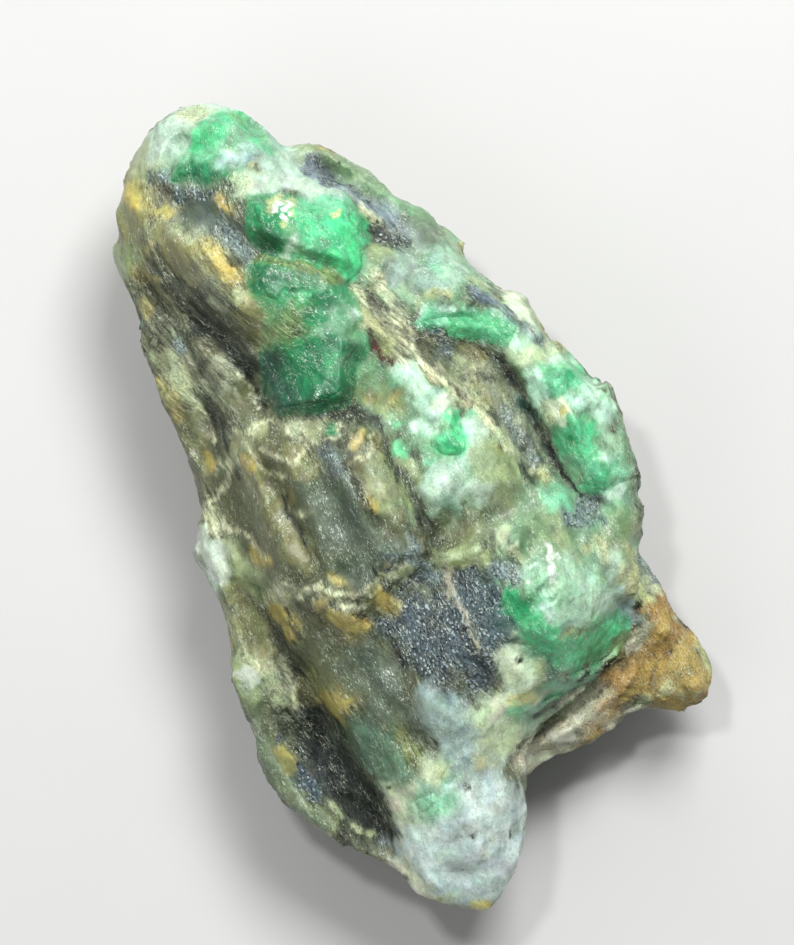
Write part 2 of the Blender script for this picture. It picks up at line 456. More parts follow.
    ("amber", 0.34, 0.85, (2.0, 15, -25, 17, -24), (1.2, 16.6, -22, 18.4, -20.6),
     (1.0, 13, -22.4, 15, -21.4), (0.8, 6, -25.6, 9.4, -24.6)),
    ("rust", 0.34, 0.9, (0.9, 8, -24.2, 10, -23.4), (1.5, 11.4, -22, 14, -20.8, 16.4, -18.4),
     (1.2, 16, -17.6, 17.6, -17.4), (0.5, 6, -25, 8, -24.6)),
    ("amber", 0.30, 0.8, (0.5, 13.4, -21.6, 15, -21), (0.5, 15.4, -19.4, 16.6, -18),
     (0.4, 11, -23, 12.4, -22.6)),
    ("cream", 0.24, 0.75, (0.4, 2.4, -24.4), (0.3, 3.6, -25), (0.35, 4.6, -23.8, 5.2, -24), (0.3, 6, -24.6),
     (0.3, 7, -23.4), (0.5, 16.4, -14.6), (0.4, 17, -15.8), (0.3, 16.2, -16.4)),
    ("black grain", 0.18, 0.8, (0.25, 2.9, -25.6), (0.16, 4, -24.4), (0.2, 5.6, -25.2), (0.18, 6.6, -23.9),
     (0.2, 8.8, -22.6), (0.16, 3, -23.7)),
    ("cream", 0.26, 0.6, (0.4, 15.4, -24.6), (0.3, 14.4, -23.8, 15, -23.4), (0.3, 17, -25),
     (0.3, 9.4, -25.2), (0.35, 12, -24.2, 13, -23.6), (0.25, 17.8, -18.6)),
    ("orange", 0.36, 0.7, (0.6, -13.2, -6, -12.9, -7.6), (0.7, -8.6, -8.4, -7, -9.6),
     (0.4, -4.8, -8, -4.4, -8.3), (0.5, -7.2, 23, -6.8, 21.8), (0.6, -5.2, 26.8), (0.8, -12, 30.8)),
    ("grey rock", 0.32, 0.9, (1.6, 2, -24.6, 5, -24, 8, -22.8), (0.35, 13, -19.4, 15, -18),
     (0.6, 9, -25.4, 12, -24.6), (0.9, 2, -26, 6, -24.8)),
    ("cream", 0.30, 0.75, (0.6, -5.6, 35, -4.4, 35), (0.9, -14.8, 17, -14.2, 15.5, -13.8, 14),
     (0.5, -13.3, 13.6, -13, 11.5), (0.8, -13.4, 7, -12, 6.8), (0.5, -10.8, 9, -8.6, 8.3),
     (0.6, 4, 17, 4.4, 14, 5.4, 11.5), (0.4, 5, 22.4, 5.8, 21.2), (0.3, 6.2, 23.7),
     (0.5, -3.8, 28.6, -3.2, 28), (0.3, -11.6, 7.4, -11.4, 4), (0.7, -13.2, -4.2, -12.2, -5),
     (0.3, -3.6, -6.2, -2.8, -6.4), (0.25, -1.4, -6.7), (0.6, -15.6, 3.4), (0.5, -8, 0.8), (0.4, -9, 5),
     (0.4, 8.6, 3, 9.6, 0.6, 10.2, -1.8), (0.5, 11.4, -3.4), (0.4, 6.8, -7.8, 7.2, -9),
     (0.8, -16, -10, -17.4, -9.6), (0.6, 15.4, -9, 13.6, -10.4, 13.4, -11.4), (0.5, -18.4, -14.6),
     (0.5, -16, -10, -15.8, -13), (0.25, -15, -23, -14.4, -24), (0.2, -13.8, -25, -13.2, -25.8),
     (0.3, -12.6, -26.2), (0.5, -6, -22.6, -5.4, -23), (0.6, -1, -21, -0.4, -22.4),
     (0.5, -9.8, -25.2, -8.2, -25.3), (0.5, 2.2, -19.4, 3.6, -19.7), (0.9, 14.3, 1.2),
     (0.4, 13.6, 2, 13.4, 0.8), (0.4, 11.4, 14, 12.4, 13.2), (0.4, -9.8, 26.4, -9.2, 25.4),
     (0.5, -5.8, 18.8, -6.6, 19.6), (0.3, -6.2, 15, -5.8, 16), (0.5, 2.4, 16, 2.2, 13.6)),
    ("olive quartz", 0.26, 0.9, (1.1, 1.9, -6.6, 3.8, -7.1)),
    ("cream quartz", 0.26, 0.7, (0.5, 1.4, -7.2, 2, -6.8), (0.6, 4.0, -7.2), (0.3, 2.8, -7.6)),
    ("grey rock", 0.28, 0.6, (0.22, 0.9, -7.8, 0.8, -10), (0.2, 0.9, -10.6, 1.1, -12.4),
     (0.2, 1.1, -13, 1.2, -14.6)),
    ("yellow crust", 0.30, 0.7, (0.5, 2.2, 14.5, 3, 12, 3.4, 10.5),
     (0.8, 5, 8.8, 6.2, 7.4, 7.2, 6, 8.2, 4.6), (0.35, 16, -11.6, 15.4, -14.6, 16, -16.4),
     (0.6, 14.6, -13, 15, -15), (0.5, -15.6, 2.8, -14.6, 2), (0.3, 18.6, -21, 18.8, -24),
     (0.4, 8, 14.2, 9, 13.6), (0.4, -8.9, 8.4), (0.4, 3.0, 12.6), (0.3, 1.3, -7.3)),
    ("ochre", 0.28, 0.7, (0.4, 14.7, 1.0), (0.3, 9.2, -3.2), (0.3, -15.9, 15.6), (0.5, 8.4, 9.2, 9.2, 8.4)),
    ("mint quartz", 0.30, 0.85, (0.9, 3.4, 9.2, 4, 7, 5, 5.2), (0.6, 3.2, 4, 4, 3.4),
     (0.5, 6.6, 3.4, 6.8, 2, 5.6, 0.7), (0.6, 7, 12.6, 8, 12)),
    ("pale beryl", 0.34, 0.75, (0.7, 8.5, 22, 10, 20.6), (0.6, 7, 12, 8.4, 11.6), (0.9, 11.5, 9.6, 13, 8.6),
     (0.9, 14, 4.6, 16.6, 3.6), (1.3, 15.6, -4.8, 16.8, -4.4), (0.8, 11.4, -5.4), (0.6, 3.2, 1.6),
     (0.7, 3.4, -2.6), (0.6, 2, -20.6, 4, -20.2, 7, -20.2, 9, -20.4), (0.7, -4.8, -23.8),
     (0.8, 9.8, 17.2, 9, 15.6), (0.6, 8, 3.6), (0.8, -7.6, -25, -6.6, -25.6), (1.0, 1, 9.4, 2.2, 8.6)),
    ("bright beryl", 0.32, 0.75, (0.5, 1.1, 3.2), (0.45, 1.6, 5), (0.4, -7.8, -24.8, -7.4, -25),
     (0.8, 12, 9, 12.8, 8.4), (0.5, 11.4, 10, 11.8, 9.4)),
    ("green beryl", 0.30, 0.8, (0.6, 16.2, 3.9), (0.5, 14.6, -1.2), (0.3, -15.4, 20.5), (0.5, -3.6, 6.6),
     (0.5, 6.2, 12, 6.8, 11.6)),
    ("smoky schist", 0.30, 0.6, (1.1, -11.6, -18.6)),
    ("teal beryl", 0.24, 0.9, (0.42, 11.5, 3, 12, 1.5)),
    ("red rust", 0.20, 0.95, (0.36, 1.8, 11.9, 2.2, 11.3, 2.5, 10.5, 3.0, 10.1)),
    ("plate quartz", 0.34, 0.85, (3.0, -9.4, 6, -9.6, -3), (2.0, -13, 4, -12, -2), (1.4, -2, 4, -1.8, -3),
     (1.6, -14.6, 11, -14.8, 7), (1.2, -10, 12, -9.4, 10), (2.0, -11, -10, -9.4, -14)),
    ("smoky plate", 0.34, 0.85, (2.4, -6, 2, -5.4, -4), (1.2, -3, -4), (1.8, -8, -12, -7, -17),
     (1.0, -8.6, 27.4, -7, 26.6)),
    ("plate gold", 0.34, 0.8, (0.9, -10.9, 8, -10.4, 3, -9.8, -3), (0.9, -7.4, 5.4, -7, 4),
     (0.7, -8.8, 2.4), (1.2, -16, -3.6, -16, -8), (1.6, -12.8, 33, -13.6, 28), (1.2, -11, 26.6, -10, 23),
     (0.9, -5.8, 18.8, -5.2, 16), (0.6, -14, 9.4, -14.2, 7)),
    ("finger quartz", 0.30, 0.85, (0.8, -1.5, 3.2, -1.3, -1), (0.8, -5.8, 7.8, -4.8, 6.6),
     (0.9, -15, 0.4, -14.6, -2.4), (0.6, -10.4, 7.6), (0.8, -2, -6.4), (0.9, -11.6, 33, -10, 33.8)),
    ("spur quartz", 0.28, 0.95, (1.1, -17.6, 1.4, -16.6, 1.2, -16.8, -0.6), (0.5, -17.8, -9.6, -17.4, -11)),
    ("cream gold", 0.26, 0.9, (0.5, -15.9, 3.8, -15.2, 2.2), (0.7, -12.8, -4.2, -12.2, -4.8),
     (0.35, -9.6, -6, -9, -6.4), (0.3, -13.4, 7, -12.4, 7.2), (0.3, -10.2, 8.8, -9, 8.6), (0.3, -8.4, 0.8),
     (0.3, -11.2, -5.6, -10.4, -5.2)),
    ("amber quartz", 0.30, 0.85, (0.5, -13.2, -5.6, -12.9, -8), (0.5, -13, -0.8, -12.8, -1.6),
     (0.6, -9.2, -6.6), (0.6, -8.7, -8.2, -7.2, -9.6), (0.4, -7.7, -4.6, -7.4, -5.4), (0.55, -4.6, -8),
     (0.4, -2.7, 0, -2.6, -0.8), (0.4, -2.6, 4.6, -1.8, 5), (0.4, -11, 7, -10.9, 6), (0.7, -5.3, 26.8),
     (0.28, -7.3, 23.6, -6.8, 22, -6.4, 20.6), (0.6, -12.8, 31.4, -12.2, 30), (0.4, -14, 8.4, -13.8, 7.2),
     (1.0, -11.6, -14.8)),
    ("dark schist", 0.28, 0.8, (0.7, -2.6, 7.4, -1.2, 6.4), (0.5, -12.3, 11.6, -12.1, 8.6),
     (0.3, -9.2, 2.6, -9, -1.4), (0.3, -3.2, 2, -2.9, -2), (0.3, 0.1, 4, 0.5, 0, 1, -3.4)),
    ("foot quartz", 0.30, 0.95, (3.4, -7.2, -28.4, -3.4, -28), (3.2, -7.6, -31, -3.6, -31),
     (2.2, -6, -33.2), (1.6, -1.8, -26.6, -1.4, -29), (1.2, -3.6, -25.6)),
    ("cream quartz", 0.28, 0.85, (1.2, -11.2, -30.2, -10.4, -31.8), (0.7, -10, -32.8, -9, -33.6),
     (1.3, -9.4, -23.4, -9.2, -25), (1.4, -1.2, -20.6, 0.6, -21.6), (1.2, 0, -23.2), (0.8, -5.8, -23)),
    ("misty green", 0.34, 0.8, (1.3, -7.6, -25, -6, -25.8), (0.6, -4.6, -24), (0.7, 1.4, -20),
     (2.4, 11, -12.4), (2.0, 10.4, -14.6), (1.1, 12.6, 10.4, 13.6, 8)),
    ("grey quartz", 0.30, 0.8, (1.6, -3.8, -17.2, -3.2, -20, -2.8, -22.4), (0.8, 12.8, -15.4)),
    ("smoky quartz", 0.34, 0.8, (1.5, -9.8, -18.6, -9, -21.2)),
    ("ochre", 0.30, 0.6, (0.4, -6.6, -34.8, -5.6, -35.2), (0.3, -9.6, -33.4)),
    ("black schist", 0.28, 0.8, (1.3, -13.8, -15.4, -13.6, -19.6, -12.2, -24.2),
     (0.4, -11.2, -22.4, -11.1, -26.6)),
    ("blue mica", 0.30, 0.8, (0.6, -16.5, -19.2, -16, -21.2)),
    ("gold quartz", 0.28, 0.8, (0.45, -17.4, -17.2, -17.3, -18.6), (0.5, -10.6, 28.6, -9.8, 28.2)),
    ("lavender schist", 0.30, 0.9, (0.9, 2.8, 27.6, 4.6, 25, 6.6, 22.6, 8.8, 19.8),
     (0.35, 11, 12.9, 12.4, 11.8, 13.4, 10.2, 14.6, 8.2)),
    ("dark mica", 0.28, 0.6, (0.35, 5.4, 21, 6.6, 19.8, 7.8, 18.4), (0.3, 3.4, 26.2, 4, 25.4)),
    ("olive green quartz", 0.32, 0.85, (1.2, 5, 27.4, 7, 24.6, 9, 21.8), (1.2, 9.8, 20.6, 10.8, 18.6),
     (1.2, 8.8, -4, 9.2, -7.4), (0.9, 15.2, -9.6, 16.4, -9.2)),
    ("grey quartz", 0.32, 0.7, (1.2, 5.8, 16.6, 8, 15.6), (0.9, 9.8, 17.4, 9, 19)),
    ("cream gold", 0.30, 0.85, (0.45, 2.6, 16.6, 3.4, 14, 4, 12.2, 5, 10.2),
     (0.4, 4.2, 16.4, 4.6, 14, 5.4, 12), (0.8, 5.4, 9, 6.6, 7.2, 7.6, 5.4), (0.4, 8.2, 4.2, 8.8, 2.4),
     (0.3, 5.2, 23, 5.8, 21.6), (0.35, 3.6, 10.4, 4.2, 9)),
    ("dark schist", 0.26, 0.7, (0.22, 3.2, 16.4, 3.8, 13.6, 4.8, 11),
     (0.25, 4.8, 14.6, 5.6, 12.2, 6.6, 10.6), (0.3, 7, 10.2, 8.6, 9), (0.2, 6, 9.4, 7.4, 7.6)),
    ("gravel", 0.32, 0.9, (1.3, 8.8, 7.6, 10, 5, 10.6, 2.4, 10.8, -0.6)),
    ("gold schist", 0.30, 0.7, (0.4, 9.6, 8.6, 10.4, 7.6), (0.4, 9, 5.4, 9.4, 4),
     (0.5, 10.6, -2.4, 11.4, -3.6)),
    ("dark schist", 0.26, 0.7, (0.4, 9.8, -1.6, 10.4, -3.6), (0.3, 10.8, 6.4, 11.4, 4.6),
     (0.35, 11.4, 0.4, 11.6, -1.4)),
    ("mid beryl", 0.32, 0.8, (0.7, 7.6, 12.2, 9.4, 11.4, 11, 10.3, 12.4, 9.2)),
    ("mint quartz", 0.30, 0.7, (0.2, 8.2, 12.7, 9.6, 12.2), (0.2, 10.4, 11.4, 11.6, 10.6),
     (0.8, 3.6, 8.4, 4.2, 6.8, 5, 5.4)),
    ("pale lump", 0.30, 0.8, (1.0, 14.4, 11.2, 15, 9.4), (1.5, 3.4, -16.6, 3.7, -18.6),
     (0.5, 5.4, 5.4, 6.2, 5)),
    ("olive quartz", 0.30, 0.7, (0.6, 15.6, 10.6, 15.8, 8.6), (1.2, 7.4, 0.8, 7.4, -1.6),
     (0.6, 5, -17.6, 5, -19.4)),
    ("gold quartz", 0.28, 0.7, (0.25, 16.5, 8.2, 16.9, 6.2), (0.5, 2.6, -19.6, 4, -19.8), (0.35, 2, 7.2)),
    ("white quartz", 0.30, 0.7, (1.3, 3.1, -0.6, 3.7, -1.8), (0.5, 7, 1.6)),
    ("brown quartz", 0.34, 0.7, (1.2, 2.2, -4.4, 5, -4.6), (1.0, 6.6, -4.6, 8.2, -3.4),
     (0.8, 1.2, 9.2, 1.6, 7.6)),
    ("smoky plate", 0.32, 0.7, (1.0, -18.2, -12.4, -18.5, -16, -18.3, -20, -17, -23.6),
     (0.9, 8.6, 20.6, 10.2, 18.4)),
    ("cream lump", 0.28, 0.9, (1.4, -11.4, -30, -10.6, -31.6), (0.5, 2, -25, 3.4, -25.4),
     (0.5, 4.4, -24, 6, -24.4), (0.4, 7, -23.4), (0.7, -10, -24.4, -8.8, -23.8),
     (0.6, 1.2, -19.6, 0.4, -20.8)),
    ("gold quartz", 0.28, 0.85, (0.55, -7, -34.6, -5.8, -35.1), (0.3, 1.6, -7.4, 2.6, -7.7),
     (0.25, 4.4, -7.2)),
    ("cream gold", 0.24, 0.8, (0.18, -16, 4.6, -14.6, 4.8, -13, 5.4, -12.2, 6.8),
     (0.18, -13.4, 7, -11.6, 6.8, -10.6, 8.8, -9.4, 9, -7.6, 8.8),
     (0.16, -10.4, 8.2, -10, 5.4, -8.8, 4.6, -8, 3.8),
     (0.16, -9.4, 7.2, -8.6, 5.8, -7.4, 5, -6, 5.6, -5.6, 7.6),
     (0.16, -6.8, 8, -6.4, 6.6, -5, 6, -3.6, 5.8, -3, 6.8), (0.18, -15, 3, -14, 1.4, -13, 0.6, -12.6, -1.4),
     (0.16, -3.2, 3.2, -2.4, 3.6, -1.6, 3.2, -0.6, 5),
     (0.2, -12.6, -3.6, -10.6, -5, -9, -5.4, -7.4, -6.8, -6, -7, -4, -6.2, -3.4, -5.4, -1.6, -6),
     (0.2, -9.4, -6, -8.2, -7.2, -6.6, -8), (0.14, -17.8, -5, -17, -7.6, -16.4, -10),
     (0.16, -14.6, -10, -14.2, -12, -14.8, -13.6), (0.14, -13.4, 13.8, -13, 11.6, -12.8, 9.4),
     (0.14, -9.2, 13.4, -8.6, 11.6, -8.4, 10), (0.16, 0.9, -6.9, 1.6, -7.8, 3, -7.9, 4.6, -7.3)),
    ("silver mica", 0.30, 0.6, (0.9, 10.2, 2.6, 11, -1.8)),
    ("olive quartz", 0.30, 0.85, (1.0, 1.8, -6.9, 3.8, -7.1)),
    ("cream quartz", 0.30, 0.6, (0.4, 1.8, -6.6), (0.4, 3.8, -7.3)),
    ("gold quartz", 0.36, 0.4, (0.6, -1.9, -23)),
    ("pale beryl", 0.36, 0.6, (0.9, -7.4, -25, -6.2, -25.6)),
    ("dark schist", 0.24, 0.8, (0.28, 9, 3.4, 9.4, 2.4), (0.25, 10.2, 1.4), (0.3, 10.6, -0.6),
     (0.25, 9.8, -1.8), (0.3, 8.2, 6.6), (0.25, 11, 5.2), (0.3, 11.2, 3.4), (0.25, 9, 0.4),
     (0.25, 9.6, 6.2, 10.2, 5.4), (0.3, 3.4, 15.6, 3.8, 13.2), (0.2, 5.2, 10.2, 6, 8.6),
     (0.2, 6.8, 6.6, 7.4, 5.2)),
    ("cream", 0.24, 0.75, (0.28, 9.4, 0.8, 9.8, -0.6), (0.22, 10.4, 3.8), (0.28, 8.6, 5), (0.22, 9.2, 7.2),
     (0.28, 10.4, -2.6), (0.2, 8.8, 2.2, 9.2, 1.2), (0.2, 11, 1.8), (0.25, 10, 7), (0.2, 7.8, 8.8, 8.6, 8)),
    ("pale schist", 0.28, 0.6, (0.5, 3, 15.6, 3.8, 12.6), (0.35, 4.8, 15.4, 5.4, 12.8)),
    ("mint quartz", 0.34, 0.6, (0.6, 13.4, 4.8, 13.4, 2.8), (0.6, 17.6, 2.4, 18.2, 0)),
    ("pale lump", 0.26, 0.85, (0.95, 14.3, 1.2)),
    ("gold quartz", 0.30, 0.80, (0.42, 14.6, 1.0)),
    ("teal beryl", 0.24, 0.9, (0.42, 11.6, 3.2, 12.1, 1.6)),
    ("black grain", 0.16, 0.95, (0.35, -6.2, 31.6), (0.3, -9.7, -22.8), (0.32, -4.5, -29.1),
     (0.28, -3.8, -25), (0.3, -11.3, -30.5), (0.2, -5.3, -35.5), (0.16, -1.7, -30, -1.8, -30.4),
     (0.22, 8.2, -20.1, 9.1, -20.1), (0.2, 4, -16.8, 4.2, -16.8), (0.25, 16.3, -23.1), (0.2, 18, -19.5)),
)  # fmt: skip

# A knob is (slope of its sides, faces, outline). A face is (x, y, height there, bearing it falls to,
# slope).
MAIN_KNOBS = (
    (1.5, ((-1.0, 24.6, 2.0, 345, 0.16), (-3.0, 24.0, 1.9, 290, 0.45), (2.2, 21.2, 2.6, 150, 0.24),
      (1.0, 23.2, 2.2, 20, 0.6)),
     (-3.2, 26.9, -0.1, 25.9, 1.5, 24.8, 4.4, 24.3, 5.3, 21.5, 4.9, 20.1, 4.0, 19.1, 3.3, 17.8, 2,
      17.2, 0.7, 18.6, -1.7, 20.3, -4.3, 22.7, -4.4, 24.3)),
    (1.3, ((-1.2, 12.6, 2.0, 285, 0.20), (-0.4, 16.2, 1.8, 340, 0.25), (-3, 9.8, 1.7, 200, 0.3), (0.8,
      14, 1.7, 90, 0.5)),
     (-3.6, 18.2, 1.3, 17.4, 2.1, 15.6, 1.6, 11.8, -0.1, 10.2, -0.5, 8.9, -1.6, 7.9, -3.9, 8.1, -7.2,
      9.1, -7.9, 10.8, -7.4, 13, -6.4, 15.6, -4.8, 17.6)),
    (0.9, ((-4.3, 19.9, 1.2, 280, 0.12), (-1.8, 19.6, 1.4, 200, 0.1)),
     (-6.0, 19.6, -5.4, 21.3, -3.6, 22.4, 0.8, 21.0, 2.2, 18.4, 1.2, 15.8, -4.2, 15.8, -5.5, 17.8)),
)  # fmt: skip
CROWN_KNOBS = (
    (0.7, ((-3.4, 32.2, 0.8, 60, 0.10), (-7, 30.8, 0.5, 250, 0.15)),
     (-8.9, 30.6, -6, 32.7, -4.9, 34.4, -1.5, 34.8, 0.4, 33.2, 1.6, 30.1, -1, 29, -3.7, 28.9, -5.6,
      28.8, -7.4, 29.8)),
)  # fmt: skip
RIDGE_KNOBS = (
    (0.7, ((9.6, 10.8, 0.8, 30, 0.18), (12.6, 8.9, 0.8, 60, 0.2), (9, 10.2, 0.9, 215, 0.35)),
     (6.4, 12.6, 9.2, 11.9, 11.9, 10.9, 13.9, 8.8, 12.2, 7.3, 9.2, 9.7, 6.4, 11.4)),
)  # fmt: skip
POCKET_KNOBS = (
    (1.0, ((5, 2.2, 0.9, 200, 0.3), (6.1, 4.3, 0.7, 30, 0.3)),
     (3.5, 2.4, 4.3, 1.1, 5.6, 0.6, 6.5, 1.3, 6.4, 2.6, 6.9, 4.3, 6.1, 5.1, 5.1, 4.4, 4.1, 3.8)),
)  # fmt: skip
SHOULDER_KNOBS = (
    (0.8, ((15.8, 3.4, 1.4, 40, 0.16), (15.4, -2.6, 1.5, 120, 0.14), (14.4, 0.6, 1.5, 270, 0.16)),
     (12.9, 5.6, 17.4, 5.4, 19.2, 1.8, 19.2, -2.8, 17.9, -5.8, 15.6, -6.8, 13.6, -5.5, 12.9, -3, 13,
      0.6, 12.7, 2.5)),
)  # fmt: skip
LOBE_KNOBS = (
    (0.8, ((9.2, -10.4, 1.9, 345, 0.16), (7.4, -12.8, 1.7, 290, 0.42), (9.8, -13.4, 2.0, 60, 0.16),
      (9.4, -17.4, 1.5, 185, 0.35)),
     (3, -12.8, 5.3, -10.8, 7.8, -8.9, 9.7, -8, 11.9, -11.2, 14, -15, 13.7, -18, 11.9, -19.6, 8.9,
      -20.3, 5.6, -19.9, 5.5, -17.8, 4.2, -15.8, 2.8, -15)),
)  # fmt: skip
CHIP_KNOBS = (
    (0.5, ((-7.4, -25, 0.25, 200, 0.05),), (-8.6, -24.4, -6.4, -24.2, -6, -25.4, -8, -26)),
    (0.5, ((-5, -23.6, 0.25, 20, 0.05),), (-6, -23.4, -4.6, -22.6, -3.8, -23.8, -5.4, -24.6)),
)  # fmt: skip
KNOBS = {
    "emerald_main": MAIN_KNOBS,
    "emerald_crown": CROWN_KNOBS,
    "emerald_ridge": RIDGE_KNOBS,
    "emerald_pocket": POCKET_KNOBS,
    "emerald_shoulder": SHOULDER_KNOBS,
    "emerald_lobe": LOBE_KNOBS,
    "emerald_chip": CHIP_KNOBS,
}
